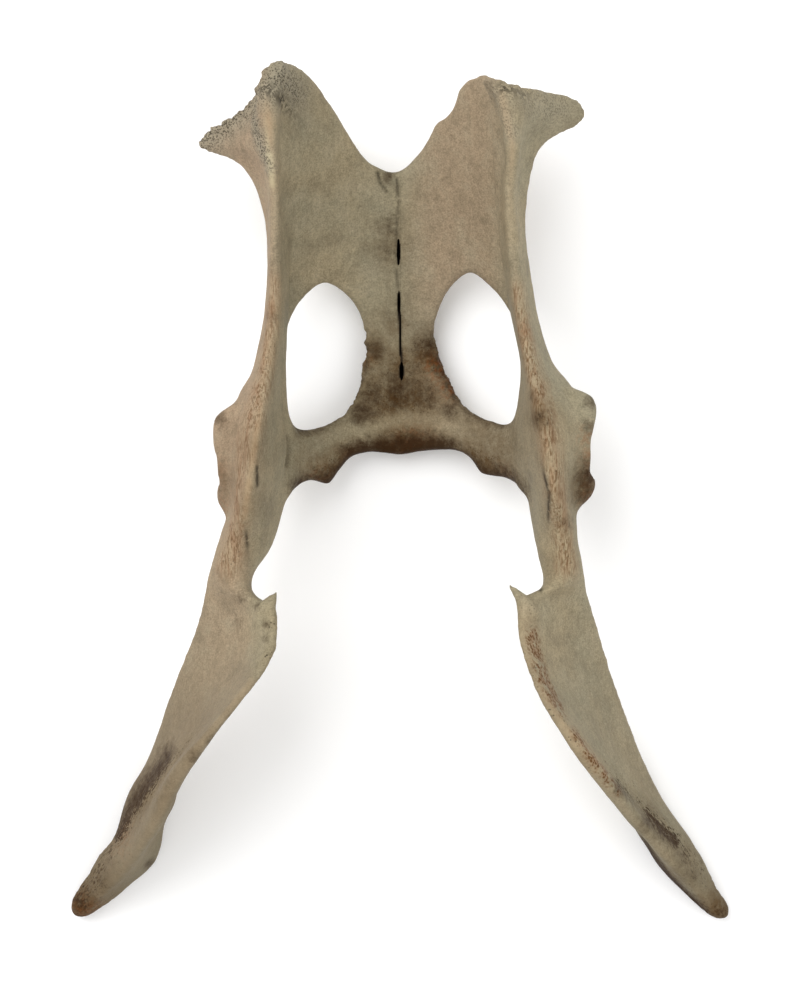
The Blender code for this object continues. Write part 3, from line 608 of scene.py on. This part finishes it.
class BoneBoard(Board):
    """Board for bone, with the places and noises that its layers share."""

    def __init__(self, name, lean):
        super().__init__(name)
        plain = self.add("ShaderNodeTexCoord").outputs["Object"]
        turned = self.add("ShaderNodeMapping", {0: plain, 2: (0, 0, lean)}).outputs[0]
        self.places = {"plain": plain}
        for kind, source in (("growth", plain), ("ridge", plain), ("crest", turned)):
            self.places[kind] = self.add("ShaderNodeMapping", {0: source, 3: STRETCH[kind]}).outputs[0]
        self.broad = self.noise(26.0)
        self.middle = self.noise(8.0)
        self.fine = self.noise(1.5)
        self.grain = self.noise(0.5, detail=2.0)
        self.lines = self.noise(1.2, detail=3.0, place="growth")
        self.streaks = self.noise(0.62, detail=5.0, roughness=0.68, place="crest")

    def noise(self, grain_mm, detail=4.0, roughness=0.55, place="plain"):
        """Soft noise with a grain in millimetres."""
        inputs = {"Vector": self.places[place], "Scale": 1 / (grain_mm * MM), "Detail": detail,
                  "Roughness": roughness}
        return self.add("ShaderNodeTexNoise", inputs).outputs[0]

    def cells(self, size_mm):
        """Distance to the middle of the nearest of many cells."""
        inputs = {"Vector": self.places["plain"], "Scale": 1 / (size_mm * MM)}
        return self.add("ShaderNodeTexVoronoi", inputs).outputs[0]

    def zone(self, name):
        """Weight of a zone, as the mesh stores it."""
        return self.add("ShaderNodeAttribute", attribute_name=name).outputs["Fac"]

    def paint(self, colour, hex_colour, where, strength=None):
        """Lay a colour over the one so far, where a weight says."""
        if strength is not None:
            where = self.times(where, strength)
        return self.blend(where, colour, linear(hex_colour))


def ground_colour(board, props):
    """Green grey that drifts to tan, pinkish where it is better kept, with speckle and growth lines."""
    drift = board.ramp(board.broad, 0.36, 0.64)
    colour = board.blend(drift, linear(props.ground_hex), linear(props.tan_hex))
    colour = board.paint(colour, props.warm_hex, board.zone("warm"))
    colour = board.paint(colour, props.pale_hex, board.ramp(board.middle, 0.5, 0.8), strength=0.6)
    colour = board.paint(colour, props.shade_hex, board.ramp(board.middle, 0.5, 0.25), strength=0.5)
    speckle = board.plus(board.times(board.grain, 0.6), board.times(board.fine, 0.4))
    speckle = board.ramp(speckle, 0.34, 0.66, start=0.74, end=1.24)
    colour = board.add("ShaderNodeHueSaturation", {"Value": speckle, "Color": colour}).outputs[0]
    colour = board.paint(colour, props.shade_hex, board.ramp(board.lines, 0.5, 0.78), strength=0.3)
    streaks = board.times(board.ramp(board.streaks, 0.5, 0.72), board.times(board.zone("warm"), 0.22))
    colour = board.paint(colour, props.shade_hex, streaks)
    return board.paint(colour, props.shade_hex, board.zone("dull"))


def ridge_colour(board, props, colour):
    """Pale rubbed ridges, the brown pores beside them and the painted highlight of the cream streak."""
    beside = board.zone("pored")
    rubbed = board.larger(board.times(board.zone("ridge"), 0.6), board.times(beside, 0.35))
    colour = board.paint(colour, props.ridge_hex, rubbed)
    pores = board.times(beside, board.ramp(board.noise(0.42, detail=3.0, place="ridge"), 0.47, 0.6))
    pores = board.times(pores, board.ramp(board.noise(4.0), 0.3, 0.5))
    amber = board.times(beside, board.ramp(board.noise(1.6, place="ridge"), 0.42, 0.62))
    colour = board.paint(colour, props.rust_hex, amber, strength=0.3)
    colour = board.paint(colour, props.pore_hex, pores, strength=0.75)
    # Painted highlight: the cream streak and line along the crest of the right ridge
    return board.paint(colour, props.cream_highlight_hex, board.zone("cream"), strength=0.9)


def rust_colour(board, props, colour):
    """Brown wash, rusty patches, and the rusty pores inside the left wing's margin."""
    mottle = board.ramp(board.noise(2.8, detail=6.0, roughness=0.7), 0.38, 0.6, start=0.55)
    colour = board.paint(colour, props.wash_hex, board.times(board.zone("wash"), mottle))
    rust = board.times(board.zone("rust"), board.ramp(board.fine, 0.38, 0.62))
    colour = board.paint(colour, props.rust_hex, rust, strength=0.85)
    clusters = board.ramp(board.noise(3.6, roughness=0.65), 0.42, 0.54)
    clusters = board.times(board.zone("rust_pores"), clusters)
    pores = board.times(board.ramp(clusters, 0.05, 0.5), board.ramp(board.cells(0.95), 0.58, 0.4))
    colour = board.paint(colour, props.ridge_hex, board.zone("margin"), strength=0.22)
    colour = board.paint(colour, props.rust_hex, clusters, strength=0.4)
    return board.paint(colour, props.pore_hex, pores, strength=0.9)


def stain_and_shadow_colour(board, props, colour):
    """Brown soil stain, broken up at its edge and streaked on the crest, with the painted shadow under the
    left wing's tip, and dark grains in the wash.
    """
    zone = board.zone("stain")
    blot = board.noise(2.6, detail=8.0, roughness=0.8)
    smoky = board.ramp(board.plus(board.times(zone, 0.42), board.times(blot, 0.95)), 0.54, 0.94)
    hatched = board.plus(board.times(zone, 0.27), board.times(board.streaks, 0.95))
    hatched = board.ramp(hatched, 0.63, 0.72)
    stain = board.add("ShaderNodeMix", {0: board.zone("strip"), 2: smoky, 3: hatched}).outputs[0]
    stain = board.times(stain, board.ramp(zone, 0.02, 0.25))
    colour = board.paint(colour, props.stain_and_shade_hex, stain, strength=0.93)
    grains = board.ramp(board.noise(1.8, detail=3.0), 0.44, 0.56)
    grains = board.times(board.ramp(board.cells(0.85), 0.3, 0.14), grains)
    return board.paint(colour, props.stain_and_shade_hex, board.times(grains, board.zone("wash")), strength=0.8)


def pit_weight(board):
    """Dark pits, most of them in rough bone, with the net of the spongy bone and its deep pits."""
    pits = board.times(board.ramp(board.cells(1.1), 0.34, 0.16), board.ramp(board.noise(3.0), 0.48, 0.6))
    pits = board.times(pits, board.plus(board.times(board.zone("rough"), 0.8), 0.22))
    net = board.ramp(board.noise(2.2, detail=2.0), 0.28, 0.46)
    net = board.times(board.ramp(board.cells(0.6), 0.55, 0.3), net)
    pits = board.larger(pits, board.times(net, board.times(board.zone("spongy"), 0.9)))
    deep = board.times(board.zone("deep"), board.ramp(board.noise(1.6, detail=3.0), 0.46, 0.54))
    return board.larger(pits, deep)


def hollow_shade_and_cracks(board, props, colour):
    """Painted shade in hollows in the brown of the stains, the dark cracks, and painted shade inside the
    slits.
    """
    # Painted shade: the stain brown is laid where ambient occlusion finds a hollow
    distance = {"Distance": HOLLOW_SHADE_REACH * MM}
    hollow = board.add("ShaderNodeAmbientOcclusion", distance, samples=8).outputs["AO"]
    colour = board.paint(colour, props.stain_and_shade_hex, board.ramp(hollow, 0.6, 0.15), strength=0.25)
    crack = board.times(board.zone("crack"), board.ramp(board.noise(2.4), 0.3, 0.44))
    # Painted shade: the inside of the slits goes near black; the cracks are dark lines of their own
    opened = board.larger(board.times(crack, 0.85), board.zone("slit"))
    return board.paint(colour, props.pit_and_slit_shade_hex, opened)


def weathered_bone(name, props, lean):
    """Dry bone, bleached and stained by soil: matt, with pores, rust and growth lines."""
    board = BoneBoard(name, lean)
    pits = pit_weight(board)
    colour = ground_colour(board, props)
    colour = ridge_colour(board, props, colour)
    colour = board.paint(colour, props.spongy_hex, board.zone("spongy"), strength=0.7)
    colour = rust_colour(board, props, colour)
    # Stains, and the painted shadow under the left wing's tip
    colour = stain_and_shadow_colour(board, props, colour)
    colour = board.paint(colour, props.pit_and_slit_shade_hex, pits, strength=0.85)
    # Painted shade in hollows and inside the slits, and the dark cracks
    colour = hollow_shade_and_cracks(board, props, colour)
    board.feed(board.shader.inputs["Base Color"], colour)

    worn = board.larger(board.zone("rough"), board.zone("eroded"))
    roughness = board.ramp(board.middle, 0.3, 0.7, start=0.6, end=0.74)
    roughness = board.plus(roughness, board.times(worn, 0.2))
    board.feed(board.shader.inputs["Roughness"], roughness)
    board.feed(board.shader.inputs["Metallic"], 0.0)
    board.feed(board.shader.inputs["IOR"], BONE_IOR)
    board.feed(board.shader.inputs["Specular IOR Level"], BONE_SPECULAR)

    height = board.plus(board.times(board.fine, 0.3), board.times(board.lines, 0.35))
    height = board.plus(height, board.times(board.grain, 0.15))
    height = board.plus(height, board.times(board.streaks, 0.1))
    height = board.combine("SUBTRACT", height, board.times(pits, 0.4))
    bump = {"Strength": BUMP_STRENGTH, "Distance": BUMP_DEPTH * MM, "Height": height}
    board.feed(board.shader.inputs["Normal"], board.add("ShaderNodeBump", bump).outputs[0])
    return board.material


class BoneProperties(bpy.types.PropertyGroup):
    """Sizes and colours of the bone."""

    skin_step: bpy.props.FloatProperty(
        name="Skin step", description="Spacing of the even skin", default=1.05 * MM, unit="LENGTH")
    seam_fill: bpy.props.FloatProperty(
        name="Seam fill", description="How far each part grows to close the thin gaps between parts",
        default=0.22 * MM, unit="LENGTH")
    soften_rounds: bpy.props.IntProperty(
        name="Soften rounds", description="Rounds of smoothing over the facets", default=5, min=0, max=40)
    suture_shift: bpy.props.FloatProperty(
        name="Suture shift",
        description="Place of the cut between the hip bones, clear of the skin's vertices",
        default=0.26 * MM, unit="LENGTH")
    ground_hex: bpy.props.StringProperty(
        name="Ground", description="Green grey of the bone, sRGB hex", default="867f69")
    tan_hex: bpy.props.StringProperty(
        name="Tan", description="Warmer patches, sRGB hex", default="8f8369")
    pale_hex: bpy.props.StringProperty(
        name="Pale", description="Bleached mottling, sRGB hex", default="998f78")
    shade_hex: bpy.props.StringProperty(
        name="Shade", description="Darker mottling and growth lines, sRGB hex", default="695f4c")
    warm_hex: bpy.props.StringProperty(
        name="Warm", description="Pinkish tan of the better kept faces, sRGB hex", default="95816a")
    ridge_hex: bpy.props.StringProperty(
        name="Ridge", description="Rubbed ridges, sRGB hex", default="a99172")
    # Colour of the painted highlight on the crest of the right ridge
    cream_highlight_hex: bpy.props.StringProperty(
        name="Cream", description="Cream streak where the ridge is rubbed through, sRGB hex",
        default="c6b894")
    pore_hex: bpy.props.StringProperty(
        name="Ridge pores", description="Brown pores beside the ridges, sRGB hex", default="573a1e")
    wash_hex: bpy.props.StringProperty(
        name="Wash", description="Brown wash around the stains, sRGB hex", default="4b3416")
    spongy_hex: bpy.props.StringProperty(
        name="Spongy bone", description="Spongy bone laid open, sRGB hex", default="8f8876")
    rust_hex: bpy.props.StringProperty(
        name="Rust", description="Rusty pores, sRGB hex", default="74401a")
    # Also the colour of the painted shade in hollows and of the painted shadow under the left wing's tip
    stain_and_shade_hex: bpy.props.StringProperty(
        name="Stain", description="Brown soil stain, sRGB hex", default="2c1905")
    # Colour of pits and cracks, and also of the painted shade inside the slits
    pit_and_slit_shade_hex: bpy.props.StringProperty(
        name="Pits", description="Depth of pores and cracks, sRGB hex", default="171009")


class StageProperties(bpy.types.PropertyGroup):
    """Floor, light and camera."""

    floor_hex: bpy.props.StringProperty(
        name="Floor", description="Plain pale floor, sRGB hex", default="fdfdfd")
    camera_height: bpy.props.FloatProperty(
        name="Camera height", description="Height of the camera over the floor", default=1.5, unit="LENGTH")
    frame_height: bpy.props.FloatProperty(
        name="Frame height", description="Length of floor that the picture shows from top to bottom",
        default=0.309, unit="LENGTH")
    key_energy: bpy.props.FloatProperty(
        name="Key light", description="Power of the soft main light in watts", default=14.0)
    sky_strength: bpy.props.FloatProperty(
        name="Sky", description="Strength of the even light from all round", default=0.96)


class PELVIS_OT_hip_bones(bpy.types.Operator):
    """Build both hip bones with their wear and material"""

    bl_idname = "pelvis.hip_bones"
    bl_label = "Hip bones"

    def execute(self, context):
        props = context.scene.pelvis_bone
        whole = whole_bone(props)
        wear(whole)
        for side, sign in SIDES.items():
            piece = cut_half(whole, side, props)
            open_slits(piece)
            write_zones(piece)
            shade_faces(piece, props.suture_shift)
            if len(piece.data.polygons) < FEWEST_FACES:
                raise RuntimeError("the " + side + " hip bone came out too coarse")
            piece.data.materials.clear()
            material = weathered_bone("weathered_dry_bone_" + side, props, -sign * CREST_LEAN)
            piece.data.materials.append(material)
            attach(piece, "root")
            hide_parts(*(bone + "_" + side for bone in BONES))
        drop_object(whole)
        return {"FINISHED"}


class PELVIS_OT_stage(bpy.types.Operator):
    """Set up the floor, the soft light and the camera"""

    bl_idname = "pelvis.stage"
    bl_label = "Stage"

    def execute(self, context):
        props = context.scene.pelvis_stage
        bm = bmesh.new()
        bmesh.ops.create_grid(bm, x_segments=1, y_segments=1, size=FLOOR_HALF)
        floor = new_object(bm, "floor")
        board = Board("matt_white_board")
        board.shader.inputs["Base Color"].default_value = linear(props.floor_hex)
        board.shader.inputs["Roughness"].default_value = FLOOR_ROUGHNESS
        board.shader.inputs["Specular IOR Level"].default_value = FLOOR_SPECULAR
        floor.data.materials.append(board.material)
        self.add_light("key", KEY_PLACE, KEY_SIZE, props.key_energy)
        self.add_light("fill", FILL_PLACE, FILL_SIZE, props.key_energy * FILL_SHARE)
        world = context.scene.world or bpy.data.worlds.new("World")
        context.scene.world = world
        world.use_nodes = True
        sky = world.node_tree.nodes["Background"]
        sky.inputs["Color"].default_value = SKY_COLOUR
        sky.inputs["Strength"].default_value = props.sky_strength
        camera = bpy.data.cameras.new("camera")
        camera.sensor_fit = "VERTICAL"
        camera.sensor_height = SENSOR_HEIGHT
        camera.lens = SENSOR_HEIGHT * props.camera_height / props.frame_height
        camera.clip_start = NEAR_CLIP
        eye = bpy.data.objects.new("camera", camera)
        eye.location = (0.0, CAMERA_ALONG, props.camera_height)
        context.scene.collection.objects.link(eye)
        context.scene.camera = eye
        context.scene.view_settings.view_transform = "Standard"
        return {"FINISHED"}

    def add_light(self, name, place, size, energy):
        light = bpy.data.lights.new(name, "AREA")
        light.shape = "DISK"
        light.size = size
        light.energy = energy
        lamp = bpy.data.objects.new(name, light)
        lamp.location = place
        lamp.rotation_euler = (-Vector(place)).to_track_quat("-Z", "Y").to_euler()
        bpy.context.scene.collection.objects.link(lamp)


class PELVIS_PT_panel(bpy.types.Panel):
    """Buttons and values of the pelvis"""

    bl_label = "Deer pelvis"
    bl_idname = "PELVIS_PT_panel"
    bl_space_type = "VIEW_3D"
    bl_region_type = "UI"
    bl_category = "Deer pelvis"

    def draw(self, context):
        layout = self.layout
        for group in (context.scene.pelvis_bone, context.scene.pelvis_stage):
            for name in group.__annotations__:
                layout.prop(group, name)
        layout.operator(PELVIS_OT_hip_bones.bl_idname)
        layout.operator(PELVIS_OT_stage.bl_idname)


CLASSES = (BoneProperties, StageProperties, PELVIS_OT_hip_bones, PELVIS_OT_stage, PELVIS_PT_panel)


def register():
    for item in CLASSES:
        bpy.utils.register_class(item)
    bpy.types.Scene.pelvis_bone = bpy.props.PointerProperty(type=BoneProperties)
    bpy.types.Scene.pelvis_stage = bpy.props.PointerProperty(type=StageProperties)


def unregister():
    del bpy.types.Scene.pelvis_stage
    del bpy.types.Scene.pelvis_bone
    for item in reversed(CLASSES):
        bpy.utils.unregister_class(item)


def main():
    register()
    bpy.ops.pelvis.hip_bones()
    bpy.ops.pelvis.stage()


if __name__ == "__main__":
    main()
